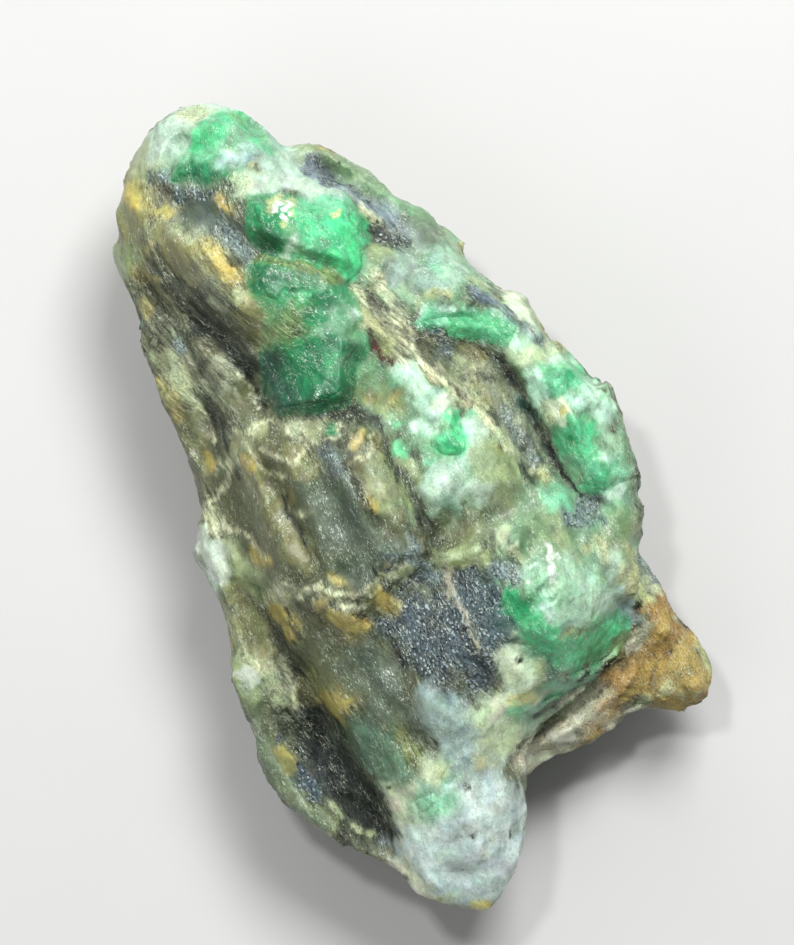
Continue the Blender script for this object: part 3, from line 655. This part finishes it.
BERYL_LAYERS = (
    ("green beryl", 0.30, 0.9, (3.2, -1, 24, 2.4, 21.4), (3.4, -3.4, 19.4, 0, 15.4),
     (3.4, -4, 13, -2.4, 11)),
    ("pale beryl", 0.34, 0.8, (1.1, -5.2, 32.6, -3.8, 32.6), (1.0, -2.8, 33.4, -1, 33.2),
     (0.6, -0.6, 32.4, 0.6, 30.4, 1.2, 28.8), (1.2, -6, 31, -3, 30.8), (0.9, 0.2, 24.5, 2.6, 24.1, 4, 23.6),
     (0.9, 10, -14, 12, -13), (1.6, 8.6, -12, 7, -14), (1.4, 9, -17, 12, -17), (0.9, 14, 4, 16.8, 3.8)),
    ("green beryl", 0.32, 0.85, (2.0, -3.2, 25, -2.2, 23.8), (1.6, -1, 22, 0.4, 20),
     (2.2, -2, 16.8, 0.3, 16.2), (2.4, -2, 13.4, 0, 12.6), (2.4, -5, 12.4, -3, 10),
     (1.0, -7.8, 30.6, -4.6, 29.7)),
    ("bright beryl", 0.34, 0.9, (1.9, 1.2, 21.5, 3.3, 21.5, 2.6, 19.4), (0.7, 1, 18.6, 2.6, 18, 3.2, 18.8),
     (1.1, -5.0, 32.6, -4, 32.7), (0.8, -2.6, 33.6, -1.4, 33.4), (0.9, -1.2, 31, -0.4, 30.6),
     (1.0, 4.6, 2.2, 5.6, 1.6, 5.9, 2.6), (0.7, 6, 4.2), (1.0, 9, 10.8, 10.6, 10.2),
     (0.8, 11.5, 9.6, 13, 8.6), (1.1, 14.6, -1.6, 16.2, -1.4), (1.2, 8, -17.8, 10.4, -17.6, 12.4, -17),
     (0.9, 6, -14, 6.8, -15.6), (0.6, -2, 17, 0, 17), (0.8, 15.4, -5)),
    ("smoky quartz", 0.34, 0.7, (1.0, -3, 19.6, -0.5, 19, 0.6, 17.8), (0.9, -0.6, 11.6), (0.8, 0.4, 20.8)),
    ("deep beryl", 0.34, 0.8, (1.0, -4.6, 20.2, -3.9, 19.6), (0.6, -3, 23.2, -2.4, 22.6),
     (1.5, -6.4, 12.8, -6.4, 10.2), (0.9, -4.4, 9, -3, 8.6), (0.9, -1.6, 9.4, -1.2, 8.6),
     (1.0, -1.6, 13, 0, 12.8), (0.7, -1.4, 16.4, 0.2, 16), (0.6, -7.4, 30.6, -6.6, 30.6), (0.6, -5.2, 29.7),
     (0.9, 4.8, -11.8, 5.2, -12.8), (0.5, 12.6, -18.4)),
    ("green beryl", 0.30, 0.8, (0.8, 8.4, -18.8, 9.8, -18.8), (0.8, 8.6, -17.8, 11, -17.6),
     (0.6, 16.4, 3.8), (0.6, 15, -1.2), (0.6, 5.0, 2.0), (1.2, 4.8, -11.6, 5.4, -12.6)),
    ("teal beryl", 0.30, 0.8, (0.8, 3.8, -13.4, 4.4, -13.8), (0.6, -6.6, 11.6)),
    ("olive schist", 0.36, 0.65, (1.1, -5, 15.2, -3.6, 15, -3.4, 16.6),
     (0.5, -4.6, 22.2, -2, 20.8, 0.2, 19, 1.2, 17.8), (0.5, -2.2, 33.5)),
    ("green quartz", 0.34, 0.75, (0.8, -1, 22.9, -0.6, 21.9), (0.9, 0.9, 15.4, 1, 13),
     (0.7, -4.6, 30.6, -3, 29.4), (0.9, -3, 31.4, -2.2, 30.6), (1.9, 9, -11.6, 11, -12.8),
     (1.3, 8.8, -14.8, 10.4, -15.2), (0.8, 13.4, 5.4), (0.9, 17.2, 2, 17.8, 0.4), (0.9, 17.6, -2.6),
     (0.5, -2, 14.6, 0.4, 14.4), (0.8, -0.4, 32, 0.4, 30.4), (0.8, 13.6, -3.4)),
    ("white quartz", 0.34, 0.7, (0.9, 12.2, -15.6, 13.2, -15), (0.5, 7.6, -13.6, 7.6, -14.4),
     (1.1, 9.6, -14.6, 11, -14), (0.3, 3.6, 24.4), (0.35, -1.8, 21.4, -0.6, 22.4), (0.6, -3.4, 31,
      -2.6, 30),
     (0.5, 1.4, 14.8)),
    ("olive quartz", 0.36, 0.7, (0.9, 9, -8.4, 9.6, -9.6), (0.9, 12, -10, 13.2, -12),
     (0.6, 13, -18.6, 11.6, -19.4)),
    ("cream", 0.30, 0.75, (0.9, 14.3, 1.2), (0.4, 13.6, 2, 13.4, 0.8), (0.3, -1.6, 29.4)),
    ("ochre", 0.30, 0.7, (0.4, 14.7, 1.0), (0.4, 8.6, -16.1, 9.8, -16.6)),
    ("misty green", 0.34, 0.85, (2.0, 9.4, -10.6, 11.4, -12.6), (1.6, 10.4, -14.4),
     (0.9, 13.8, 5.2, 16.6, 5.2), (0.7, 17.8, 1.6, 17.6, -3)),
    ("mid beryl", 0.34, 0.9, (1.2, 6.0, -14.8, 6.8, -17.4), (1.1, 8.4, -18, 10.4, -17.6, 12.4, -17),
     (1.2, 14.8, 3.8, 16.6, 3.4), (1.3, 14.8, -1.6, 15.8, -3.4), (1.0, 15.2, -5),
     (0.9, 9.4, 11, 10.8, 10.4, 12.4, 9.2)),
    ("bright beryl", 0.32, 0.8, (0.6, 8.6, -18.2, 10.4, -18, 12, -17.4), (0.5, 4.9, -11.2)),
    ("green beryl", 0.30, 0.9, (0.8, 4.9, -11.4, 5.2, -12.8), (0.5, 9, -18.8, 10, -18.8), (0.45, 16.2, 3.8),
     (0.4, 14.6, -1.4)),
    ("white quartz", 0.34, 0.6, (0.9, 12.4, -15.2), (0.5, 11.4, -12.8), (0.4, 7.7, -13.6, 7.7, -14.4)),
    ("olive green quartz", 0.34, 0.7, (0.9, 9, -8.4, 9.4, -9.4), (0.7, 13.4, -12.6, 14, -14.6),
     (0.5, 16.8, -2.6, 17.2, -3.6)),
    ("mint quartz", 0.34, 0.6, (0.6, 13.5, 4.8, 13.6, 3), (0.7, 17.4, 2.4, 18, 0),
     (0.5, 15.6, 1.8, 16.4, 1), (0.5, 16.8, -3.8), (0.5, 15.8, 5.4)),
    ("blue quartz", 0.36, 0.55, (0.8, -3.6, 30.6, -1.8, 29.8), (0.5, 0.4, 31.6, 1, 30.2)),
    ("green beryl", 0.34, 0.5, (0.9, -4.4, 33, -4.8, 32), (0.5, -1.6, 32.4, -0.8, 31.4),
     (0.6, -8, 30.6, -6.6, 30.4)),
    ("deep beryl", 0.36, 0.65, (1.9, -5.8, 12.4, -3.6, 10.4), (0.9, -3.6, 9, -1.6, 9.2),
     (0.8, -1.8, 16.6, 0, 16.6), (0.7, -3.4, 23.4, -2.6, 22.4)),
    ("teal beryl", 0.36, 0.6, (0.9, -6.8, 13.4, -6.8, 10.6)),
    ("pale lump", 0.26, 0.85, (0.95, 14.3, 1.2)),
    ("gold quartz", 0.30, 0.80, (0.42, 14.6, 1.0)),
    ("yellow crust", 0.24, 0.8, (0.26, 2.8, 23.1, 3.2, 23.1), (0.3, -2.3, 29.2, -1.6, 29)),
    ("yellow crust", 0.26, 0.8, (0.5, -1.8, 25.4, -1, 25.6), (0.4, -1.4, 23.6), (0.3, -0.1, 25),
     (0.3, -0.2, 24.2)),
    ("white crust", 0.14, 0.9, (0.26, -1.7, 25.0, -1.2, 25.2), (0.3, -0.9, 24.6, -0.5, 24.9),
     (0.22, -1.3, 24.2, -1, 23.9), (0.2, -0.3, 25.6), (0.2, -0.4, 24.2)),
    ("white crust", 0.14, 0.8, (0.26, 9.2, -8.7, 9.3, -9.8), (0.28, 9.1, -10.3, 8.9, -11.3),
     (0.16, 9.8, -9.6, 9.9, -10.2), (0.16, 7.6, -9.9, 8, -9.7), (0.14, 7, -10.8)),
)  # fmt: skip


def depth_inside(points, outline):
    """How far inside a closed outline each place is; below 0 outside it."""
    x, y = points[:, 0], points[:, 1]
    away, _ = line_distance(x, y, (*outline, *outline[:2]))
    inside = np.zeros(len(points), dtype=bool)
    ends = list(zip(outline[0::2], outline[1::2]))
    for (x0, y0), (x1, y1) in zip(ends, ends[1:] + ends[:1]):
        crosses = (y0 > y) != (y1 > y)
        inside ^= crosses & (x < (x1 - x0) * (y - y0) / (y1 - y0 + 1e-9) + x0)
    return np.where(inside, away, -away)


def knobbed(points, knobs):
    """How high the crystal stands over the rock at each place, and how far inside its outline that is."""
    height = np.full(len(points), -9.0)
    within = np.full(len(points), -9.0)
    for side_slope, faces, outline in knobs:
        near = (points[:, 0] > min(outline[0::2]) - 2) & (points[:, 0] < max(outline[0::2]) + 2)
        near &= (points[:, 1] > min(outline[1::2]) - 2) & (points[:, 1] < max(outline[1::2]) + 2)
        here = points[near]
        here = here + 0.22 * np.stack([cloud(here, 1.4, seed) for seed in (301, 307, 311)], axis=1)
        depth = depth_inside(here, outline)
        top = depth * side_slope
        for x, y, rise, bearing, slope in faces:
            fall = (here[:, 0] - x) * sin(radians(bearing)) + (here[:, 1] - y) * cos(radians(bearing))
            top = np.minimum(top, rise - slope * fall)
        height[near] = np.maximum(height[near], top)
        within[near] = np.maximum(within[near], depth)
    return height, within


def tree_of(mesh):
    return BVHTree.FromPolygons([v.co for v in mesh.vertices], [tuple(p.vertices) for p in mesh.polygons])


def distance_to(points, tree):
    return np.array([tree.find_nearest(Vector(place))[3] for place in (points + PLAN_SHIFT) * MM]) / MM


def ground_across(places, rim):
    """The height at which the rock would run on across a socket, from the rock close around it."""
    away = ((places[:, None, :2] - rim[None, :, :2]) ** 2).sum(axis=2) + 0.3
    weight = away**-1.6
    return (weight * rim[None, :, 2]).sum(axis=1) / weight.sum(axis=1)


def clean_breaks(points):
    """How clear quartz and beryl break: in small flat faces."""
    return 0.09 * shards(points, (2.4, 2.8, 2.4), 3) + 0.04 * shards(points, (0.9, 1.0, 0.9), 4)


def crumbled(points):
    return 0.05 * cloud(points, 1.2, 5)


def remember(mesh, amount, crevice_reach, valley_reach):
    """Store what the finish reads at each point. A reach is a number of rings of neighbours."""
    points, facing = places_of(mesh)
    tone, kinds = painted(points, amount)
    keep(mesh, "tone", tone)
    keep(mesh, "kinds", kinds)
    keep(mesh, "crevice", hollowness(mesh, points, facing, crevice_reach))
    keep(mesh, "valley", hollowness(mesh, points, facing, valley_reach))
    keep(mesh, "layers", layered(points))


SOCKET_FILL = 0.55  # how far the rock closes in over each socket
CEILING = 24.25  # nothing stands higher than this
SUNK = 0.30  # how far the rock stays under the crystals that stand on it
OVERLAP = 0.10  # how far the rock stands over a crystal's buried rim
ROCK_TRIM = 0.16  # taken off all round, so that the relief stays inside the stone's own size
CARVING = 0.72  # how much of the height of the ribs and grooves is used

socket_walls = tree_of(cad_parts["matrix"].data)
rock = copy_of("schist_rock", "matrix")
blank = bmesh.new()
blank.from_mesh(rock.data)
for node in KNOBS:
    plug = copy_of("plug", node)
    places, facing = places_of(plug.data)
    move_to(plug.data, places + facing * SOCKET_FILL)
    blank.from_mesh(plug.data)
    bpy.data.objects.remove(plug)
blank.to_mesh(rock.data)
blank.free()
gridded(rock, ROCK_GRAIN, smoothing=1)

points, facing = places_of(rock.data)
over_plug = smoothstep(0.25, 0.60, distance_to(points, socket_walls))
points -= facing * (over_plug * 0.6 * smoothstep(0.6, 0.2, facing[:, 2]))[:, None]
rims = {}
for node, knobs in KNOBS.items():
    low, high = (np.array(corner) / MM - PLAN_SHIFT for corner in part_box(node))
    near = ((points[:, :2] > low[:2] - 2.5) & (points[:, :2] < high[:2] + 2.5)).all(axis=1)
    near = np.flatnonzero(near & (points[:, 2] > 5))
    away = distance_to(points[near], tree_of(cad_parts[node].data))
    is_rim = (away > 0.5) & (away < 1.7) & (facing[near, 2] > 0.25) & (over_plug[near] < 0.05)
    rim = points[near][is_rim]
    rims[node] = rim[:: max(1, len(rim) // 200)]
    rise, within = knobbed(points[near], knobs)
    ground = ground_across(points[near], rims[node])
    inside = smoothstep(0.1, 0.5, within)
    height = points[near, 2]
    sunk = np.minimum(height - (SOCKET_FILL + 0.2) * inside, ground + np.maximum(rise, 0) - SUNK * inside)
    share = over_plug[near] * (away < 1.0)
    points[near, 2] = height + (sunk - height) * share
    is_top = smoothstep(0.0, 0.5, facing[near, 2])
    raised = np.maximum(rise, 0) * smoothstep(-0.1, 0.3, within)
    level = ground + np.maximum(rise, 0) - height - raised  # so that rock and crystal meet at one height
    raised += level * smoothstep(1.8, 0.5, away) * inside + OVERLAP * inside
    points[near, 2] += raised * (1 - over_plug[near]) * is_top
move_to(rock.data, points)
gridded(rock, ROCK_GRAIN, ROCK_SMOOTHING)

points, facing = places_of(rock.data)
is_front = smoothstep(3, 9, points[:, 2]) * smoothstep(-0.35, 0.15, facing[:, 2])
_, kinds = painted(points, is_front)
is_splintery = 1 - kinds[:, 0]
in_layers = layered(points)
relief = is_splintery * 0.17 * shards(in_layers, (1.1, 5.0, 1.7), 1)
relief += is_splintery * 0.12 * shards(in_layers, (0.5, 2.0, 0.8), 2)
relief += (1 - is_splintery) * clean_breaks(points) + crumbled(points)
points += facing * (relief * smoothstep(0.0, 1.2, points[:, 2]) - ROCK_TRIM)[:, None]
within = np.max([knobbed(points, knobs)[1] for knobs in KNOBS.values()], axis=0)
carving = CARVING * carved(points) * smoothstep(0.5, -0.2, within)
points[:, 2] += carving * smoothstep(4, 10, points[:, 2]) * smoothstep(0.0, 0.5, facing[:, 2])
points[:, 2] = np.minimum(points[:, 2], CEILING)
move_to(rock.data, points)
remember(rock.data, is_front, crevice_reach=3, valley_reach=22)


class Shade:
    """A number inside a finish. Sums written with it become Math nodes."""

    def __init__(self, finish, socket):
        self.finish = finish
        self.socket = socket

    def maths(self, operation, *values):
        return self.finish.node("ShaderNodeMath", {"operation": operation}, dict(enumerate(values)))

    def __add__(self, other):
        return self.maths("ADD", self, other)

    def __radd__(self, other):
        return self.maths("ADD", other, self)

    def __sub__(self, other):
        return self.maths("SUBTRACT", self, other)

    def __rsub__(self, other):
        return self.maths("SUBTRACT", other, self)

    def __mul__(self, other):
        return self.maths("MULTIPLY", self, other)

    def __rmul__(self, other):
        return self.maths("MULTIPLY", other, self)

    def between(self, low, high):
        """0 at low and 1 at high, with soft ends."""
        sockets = {"Value": self, "From Min": low, "From Max": high}
        return self.finish.node("ShaderNodeMapRange", {"interpolation_type": "SMOOTHSTEP"}, sockets)


class Finish:
    """A material that is put together node by node."""

    def __init__(self, name):
        self.material = bpy.data.materials.new(name)
        self.material.use_nodes = True
        self.tree = self.material.node_tree
        self.tree.nodes.clear()

    def node(self, kind, settings=None, inputs=None, output=0):
        """Add a node, set it up, and fill its sockets by name or number. Gives one of its outputs."""
        made = self.tree.nodes.new(kind)
        for key, value in (settings or {}).items():
            setattr(made, key, value)
        for key, value in (inputs or {}).items():
            if isinstance(value, Shade):
                self.tree.links.new(value.socket, made.inputs[key])
            elif value is not None:
                made.inputs[key].default_value = value
        return Shade(self, made.outputs[output]) if made.outputs else None

    def kept(self, name, output="Vector"):
        return self.node("ShaderNodeAttribute", {"attribute_name": name}, output=output)

    def mix(self, share, first, second):
        """A colour that goes from first to second."""
        return self.node("ShaderNodeMix", {"data_type": "RGBA"}, {0: share, 6: first, 7: second}, output=2)

    def lit(self, tone, share):
        """A colour made lighter or darker by a factor."""
        return self.node("ShaderNodeVectorMath", {"operation": "SCALE"}, {0: tone, "Scale": share})

    def stretched(self, vector, scale):
        return self.node("ShaderNodeVectorMath", {"operation": "MULTIPLY"}, {0: vector, 1: scale})

    def noise(self, vector, scale, detail=4.0, roughness=0.6, distortion=0.0):
        sockets = {"Vector": vector, "Scale": scale, "Detail": detail, "Roughness": roughness}
        return self.node("ShaderNodeTexNoise", {}, {**sockets, "Distortion": distortion})

    def cells(self, vector, scale, output="Distance"):
        return self.node("ShaderNodeTexVoronoi", {}, {"Vector": vector, "Scale": scale}, output)

    def millimetres(self):
        """The piece's own coordinates, in millimetres."""
        own = self.node("ShaderNodeTexCoord", {}, {}, output="Object")
        return self.stretched(own, (1 / MM,) * 3)

    def parts_of(self, vector):
        split = self.node("ShaderNodeSeparateXYZ", {}, {0: vector})
        outputs = split.socket.node.outputs
        return [Shade(self, outputs[index]) for index in range(3)]

    def bump(self, height, strength, distance):
        sockets = {"Height": height, "Strength": strength, "Distance": distance * MM}
        return self.node("ShaderNodeBump", {}, sockets)

    def faceted(self, normal, cells, share):
        """A direction that tips its own way in each cell."""
        tip = self.node("ShaderNodeVectorMath", {"operation": "SUBTRACT"}, {0: cells, 1: (0.5, 0.5, 0.5)})
        sockets = {0: normal, 1: self.lit(tip, share)}
        tipped = self.node("ShaderNodeVectorMath", {"operation": "ADD"}, sockets)
        return self.node("ShaderNodeVectorMath", {"operation": "NORMALIZE"}, {0: tipped})

    def surface(self, shader):
        self.node("ShaderNodeOutputMaterial", {}, {"Surface": shader})


def colour(*shades):
    return (*linear(*shades), 1.0)


def stone_finish(name, clear_rough, glow, polish):
    """The finish of the rock and of every crystal in it: dull mineral that turns to clear crystal."""
    stone = Finish(name)
    own = stone.millimetres()
    layers = stone.kept("layers")
    tone = stone.kept("tone")
    clear, mica, crust = stone.parts_of(stone.kept("kinds"))
    crevice = stone.kept("crevice", "Fac")
    valley = stone.kept("valley", "Fac")
    fibres = stone.noise(stone.stretched(layers, (3.2, 0.42, 1.6)), 1.0, 6.0, 0.68, 0.5)
    streaks = stone.noise(stone.stretched(layers, (1.3, 0.17, 0.7)), 1.0, 5.0, 0.6, 0.3)
    hairs = stone.noise(stone.stretched(layers, (7.5, 1.5, 4.0)), 1.0, 3.0, 0.6, 0.9)
    clusters = stone.noise(stone.stretched(layers, (0.8, 0.35, 0.6)), 1.0, 4.0, 0.65)
    grains = stone.noise(own, 5.5, 4.0, 0.75)
    ragged = stone.noise(own, 1.8, 6.0, 0.7)
    veins = stone.noise(own, 0.9, 6.0, 0.62, 0.7)
    sparks = stone.noise(stone.stretched(layers, (7.5, 3.4, 6.0)), 1.0, 2.0, 0.5, 1.2)
    flakes = stone.cells(stone.stretched(layers, (7.5, 4.5, 6.0)), 1.0, "Color")
    flake_pick = stone.parts_of(flakes)[0]
    cleaved = stone.cells(stone.stretched(own, (1.1, 0.8, 1.1)), 1.0, "Color")
    cleaved_pick = stone.parts_of(cleaved)[1]

    mica_share = (mica + (ragged - 0.5) * 1.1).between(0.34, 0.66)
    clear_share = (clear + (ragged - 0.5) * 0.9).between(0.36, 0.64)
    crust_share = (crust + (ragged - 0.5) * 1.2).between(0.30, 0.64)
    pale_hairs = hairs.between(0.58, 0.64) * clusters.between(0.38, 0.60)
    pale_flecks = sparks.between(0.59, 0.66) * (clusters.between(0.42, 0.60) * 0.95 + 0.05)
    dark_flecks = (0.40 - sparks).between(0.0, 0.05)

    dull = stone.lit(tone, fibres.between(0.32, 0.68) * 0.95 + streaks.between(0.36, 0.64) * 0.70 + 0.16)
    dull = stone.mix((1 - hairs.between(0.36, 0.44)) * 0.55, dull, stone.lit(tone, 0.25))
    dull = stone.mix(mica_share, dull, stone.lit(tone, flake_pick * 0.9 + fibres * 1.2 - 0.08))
    dull = stone.mix(crust_share, dull, stone.lit(tone, grains.between(0.34, 0.62) * 0.50 + 0.62))
    dull = stone.mix(crust_share * (1 - grains.between(0.34, 0.42)) * 0.45, dull, colour(92, 86, 54))
    dull = stone.mix(crevice.between(0.04, 0.24) * 0.5, dull, colour(30, 33, 25))
    dull = stone.mix((0 - crevice).between(0.06, 0.24) * 0.20, dull, colour(198, 200, 164))
    dull = stone.mix(dark_flecks * 0.55, dull, stone.lit(tone, 0.2))
    dull = stone.mix(pale_hairs * 0.60, dull, colour(200, 206, 178))
    dull = stone.mix(pale_flecks * 0.70, dull, colour(212, 222, 200))
    dull = stone.mix(mica_share * flake_pick.between(0.90, 0.94) * 0.6, dull, colour(190, 206, 210))
    dull = stone.lit(dull, 1.04 - valley.between(0.0, 0.9) * 0.42)
    dull_rough = 0.30 + crust_share * 0.30 - mica_share * 0.06 + (grains - 0.5) * 0.4
    dull_normal = stone.bump(fibres * 0.9 + grains * 0.5 + hairs * 0.5, 0.9, 0.20)
    dull_normal = stone.faceted(dull_normal, flakes, mica_share * 0.6 + 0.35)
    dull_skin = stone.node(
        "ShaderNodeBsdfPrincipled", {},
        {"Base Color": dull, "Roughness": dull_rough, "Normal": dull_normal, "Specular IOR Level": 0.45},
    )  # fmt: skip

    cloudy = veins.between(0.34, 0.66) * 0.30 + grains.between(0.34, 0.66) * 0.20
    glassy = stone.lit(tone, cloudy + cleaved_pick * 0.20 + 0.60)
    glassy = stone.mix(crevice.between(0.04, 0.20) * 0.22, glassy, stone.lit(tone, 0.25))
    glassy = stone.mix((0 - crevice).between(0.05, 0.20) * 0.14, glassy, colour(208, 234, 214))
    glassy = stone.mix((1 - hairs.between(0.36, 0.44)) * 0.30, glassy, stone.lit(tone, 0.4))
    glassy = stone.mix(pale_hairs * 0.32, glassy, colour(212, 224, 200))
    glassy = stone.mix(pale_flecks * 0.60, glassy, colour(222, 236, 220))
    glassy = stone.mix(dark_flecks * 0.35, glassy, stone.lit(tone, 0.35))
    glassy = stone.lit(glassy, 1.02 - valley.between(0.0, 0.9) * 0.36)
    glassy_normal = stone.bump(veins * 0.35 + grains * 0.40, 0.7, 0.20)
    glassy_normal = stone.faceted(glassy_normal, cleaved, 0.10)
    glassy_skin = stone.node(
        "ShaderNodeBsdfPrincipled", {},
        {
            "Base Color": glassy, "Roughness": clear_rough + grains * 0.20, "IOR": 1.56,
            "Normal": glassy_normal, "Specular IOR Level": 0.35,
            "Subsurface Weight": glow, "Subsurface Radius": (0.7, 1.0, 0.85), "Subsurface Scale": 0.8 * MM,
            "Coat Weight": polish, "Coat Roughness": 0.08,
        },
    )  # fmt: skip
    stone.surface(stone.node("ShaderNodeMixShader", {}, {0: clear_share, 1: dull_skin, 2: glassy_skin}))
    return stone.material


rock.data.materials.clear()
rock.data.materials.append(stone_finish("schist_and_quartz", clear_rough=0.22, glow=0.40, polish=0.10))
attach(rock, "root")
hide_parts("matrix")

# --- Emeralds -----------------------------------------------------------------------------------
# Beryl that grew with the rock: six-sided crystals run together, broken and rubbed, so that they show
# glassy stepped breaks and only a few flat faces. They are cloudy, deep green in the thick parts and
# whitish where they are full of cracks. Each is locked in a socket, and the rock clings to its rim.
BERYL_GRAIN = 0.16
BERYL_TRIM = 0.10
SIDE_FILL = 0.75  # how far its buried sides spread past its solid, to close the gap to its socket

BERYLS = {  # node: (slot, roughness, glow)
    "emerald_main": ("deep_emerald", 0.26, 0.40),
    "emerald_crown": ("emerald", 0.26, 0.45),
    "emerald_ridge": ("emerald", 0.24, 0.45),
    "emerald_pocket": ("bright_emerald", 0.22, 0.40),
    "emerald_shoulder": ("pale_emerald", 0.26, 0.50),
    "emerald_lobe": ("emerald", 0.22, 0.50),
    "emerald_chip": ("pale_emerald", 0.20, 0.50),
}

for node, (slot, roughness, glow) in BERYLS.items():
    crystal = copy_of(node + "_crystal", node)
    gridded(crystal, BERYL_GRAIN, smoothing=4)
    points, facing = places_of(crystal.data)
    points += facing * (SIDE_FILL * smoothstep(1.0, 0.4, distance_to(points, socket_walls)))[:, None]
    rise, _ = knobbed(points, KNOBS[node])
    top = ground_across(points, rims[node]) + np.maximum(rise, -2.0)
    lift = np.clip(top - points[:, 2], 0, 1.2) * smoothstep(0.2, 0.6, facing[:, 2])
    points[:, 2] = np.minimum(points[:, 2] + lift, top)
    move_to(crystal.data, points)
    gridded(crystal, BERYL_GRAIN, smoothing=3)
    points, facing = places_of(crystal.data)
    points += facing * (clean_breaks(points) + crumbled(points) - BERYL_TRIM)[:, None]
    points[:, 2] = np.minimum(points[:, 2], CEILING)
    move_to(crystal.data, points)
    remember(crystal.data, np.ones(len(points)), crevice_reach=5, valley_reach=24)
    crystal.data.materials.clear()
    crystal.data.materials.append(stone_finish(node, roughness, glow, polish=0.12))
    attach(crystal, "root")
    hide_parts(node)

# --- Floor, light and camera --------------------------------------------------------------------
# A pale matt table under the stone, a small bright lamp beside the camera for the glints, and large
# soft lamps around it. The camera looks straight down on the stone, which lies askew in the view.
FLOOR_SIZE = 3.0
VIEW_TURN = 21  # degrees that the stone's length leans in the view
VIEW_MIDDLE = (0.12, 1.29)  # the view's middle on the stone's grid
VIEW_HEIGHT = 78.3  # millimetres that the view spans, at the height below
VIEW_PLANE = 16.0
CAMERA_AWAY = 520.0

floor_bm = bmesh.new()
bmesh.ops.create_grid(floor_bm, x_segments=1, y_segments=1, size=FLOOR_SIZE / 2)
floor_mesh = bpy.data.meshes.new("floor")
floor_bm.to_mesh(floor_mesh)
floor_bm.free()
floor = bpy.data.objects.new("floor", floor_mesh)
floor.location.z = -0.0002
bpy.context.scene.collection.objects.link(floor)
table_top = Finish("pale_table")
table_grain = table_top.noise(table_top.millimetres(), 0.02, 3.0)
table_tone = table_top.mix(table_grain, colour(196, 196, 194), colour(204, 204, 202))
table_skin = {"Base Color": table_tone, "Roughness": 0.7}
table_top.surface(table_top.node("ShaderNodeBsdfPrincipled", {}, table_skin))
floor.data.materials.append(table_top.material)

LAMPS = (  # name, place in millimetres, size in millimetres, watts
    ("glint_lamp", (-40, 150, 470), 40, 0.70),
    ("key_lamp", (190, 220, 420), 180, 2.6),
    ("fill_lamp", (-320, -60, 360), 320, 0.4),
    ("back_lamp", (60, 380, 220), 240, 0.5),
)
for name, place, size, watts in LAMPS:
    light = bpy.data.lights.new(name, "AREA")
    light.size = size * MM
    light.energy = watts
    lamp = bpy.data.objects.new(name, light)
    lamp.location = Vector(place) * MM
    lamp.rotation_euler = (Vector((0, 0, 0.015)) - lamp.location).to_track_quat("-Z", "Y").to_euler()
    bpy.context.scene.collection.objects.link(lamp)

world = bpy.data.worlds.new("studio")
world.use_nodes = True
world.node_tree.nodes["Background"].inputs["Color"].default_value = (0.97, 0.99, 1.0, 1.0)
world.node_tree.nodes["Background"].inputs["Strength"].default_value = 0.20
bpy.context.scene.world = world
bpy.context.scene.view_settings.view_transform = "Standard"

camera = bpy.data.objects.new("camera", bpy.data.cameras.new("camera"))
camera.data.sensor_width = 36
camera.data.lens = camera.data.sensor_width * CAMERA_AWAY / VIEW_HEIGHT
camera.data.clip_start = 0.01
middle = (VIEW_MIDDLE[0] + PLAN_SHIFT[0], VIEW_MIDDLE[1] + PLAN_SHIFT[1], VIEW_PLANE + CAMERA_AWAY)
camera.location = Vector(middle) * MM
camera.rotation_euler = (0, 0, -radians(VIEW_TURN))
bpy.context.scene.collection.objects.link(camera)
bpy.context.scene.camera = camera
